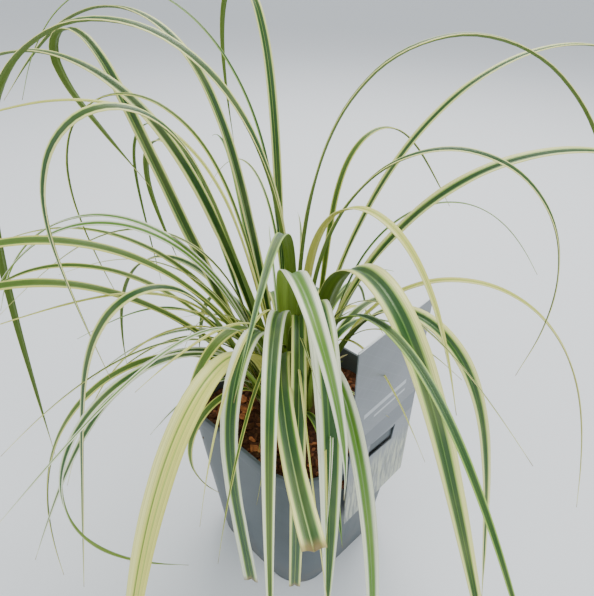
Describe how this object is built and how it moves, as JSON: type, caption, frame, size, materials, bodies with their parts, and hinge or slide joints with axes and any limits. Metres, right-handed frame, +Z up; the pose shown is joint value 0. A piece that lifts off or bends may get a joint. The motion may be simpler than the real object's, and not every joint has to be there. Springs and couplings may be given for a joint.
{
  "type": "potted carex",
  "caption": "House plant: a variegated carex with long arching striped leaves, in a square tapered nursery pot with a label hooked on its rim.",
  "frame": {"origin": "middle of the pot's flat base, on the surface it stands on", "axes": "+Z up; the pot's walls face along X and Y; the plant label hangs on the +X wall; the open front of the mix is towards +X, -Y"},
  "size_m": [0.4781, 0.5176, 0.3881],
  "materials": {
    "pot_plastic": "slate grey injection-moulded plastic, satin",
    "potting_mix": "dark moist bark potting mix",
    "crown_sheaths": "old leaf sheaths, dull",
    "label_card": null,
    "leaf": "living blade, dark green middle with cream and yellow edges, waxy satin"
  },
  "bodies": {
    "root": {"pot": "pot_plastic", "potting_mix": "potting_mix", "crown": "crown_sheaths", "plant_label": "label_card", "leaf_front_1": "leaf", "leaf_front_2": "leaf", "leaf_front_3": "leaf", "leaf_front_4": "leaf", "leaf_front_5": "leaf", "leaf_front_6": "leaf", "leaf_front_7": "leaf", "cut_leaf_1": "leaf", "cut_leaf_2": "leaf", "cut_leaf_3": "leaf", "leaf_left_1": "leaf", "leaf_left_2": "leaf", "leaf_left_3": "leaf", "leaf_left_4": "leaf", "leaf_left_5": "leaf", "leaf_left_6": "leaf", "leaf_left_7": "leaf", "leaf_left_8": "leaf", "leaf_left_9": "leaf", "leaf_left_10": "leaf", "leaf_left_11": "leaf", "leaf_left_12": "leaf", "leaf_left_13": "leaf", "leaf_left_14": "leaf", "leaf_left_15": "leaf", "leaf_left_16": "leaf", "leaf_high_1": "leaf", "leaf_high_2": "leaf", "leaf_high_3": "leaf", "leaf_high_4": "leaf", "leaf_high_5": "leaf", "leaf_high_6": "leaf", "leaf_high_7": "leaf", "leaf_high_8": "leaf", "leaf_right_1": "leaf", "leaf_right_2": "leaf", "leaf_right_3": "leaf", "leaf_right_4": "leaf", "leaf_right_5": "leaf", "leaf_right_6": "leaf", "leaf_right_7": "leaf", "leaf_right_8": "leaf", "leaf_right_9": "leaf", "leaf_back_1": "leaf", "leaf_back_2": "leaf", "leaf_back_3": "leaf", "leaf_back_4": "leaf", "leaf_back_5": "leaf", "leaf_back_6": "leaf", "leaf_back_7": "leaf", "leaf_back_8": "leaf", "leaf_back_9": "leaf", "leaf_back_10": "leaf", "leaf_back_11": "leaf", "leaf_back_12": "leaf"}
  },
  "joints": []
}
